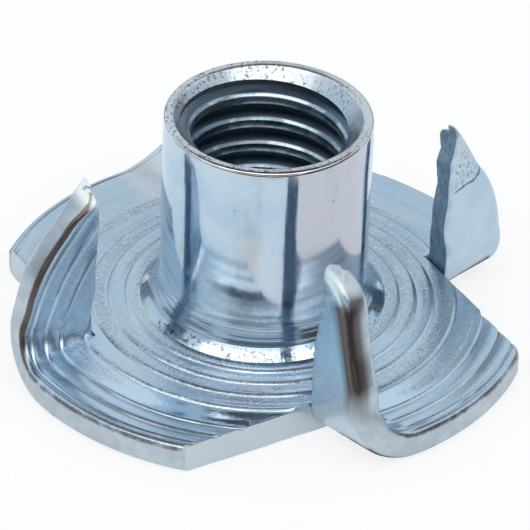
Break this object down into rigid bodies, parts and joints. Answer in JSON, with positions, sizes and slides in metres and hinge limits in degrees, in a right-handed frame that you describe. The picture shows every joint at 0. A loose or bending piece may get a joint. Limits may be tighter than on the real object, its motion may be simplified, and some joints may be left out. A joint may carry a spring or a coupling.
{
  "type": "tee nut",
  "caption": "Pronged tee nut with a threaded barrel, pressed from sheet steel for driving into wood.",
  "frame": {"origin": "axis of the threaded bore, on the flat underside of the flange", "axes": "+Z along the bore from the underside towards the barrel's rim; +X and +Y along the slits"},
  "size_m": [0.0234, 0.0238, 0.011],
  "materials": {
    "zinc_plated_steel": "bright bluish zinc plating over pressed sheet steel, satin"
  },
  "bodies": {
    "root": {"tee_nut": "zinc_plated_steel"}
  },
  "joints": []
}
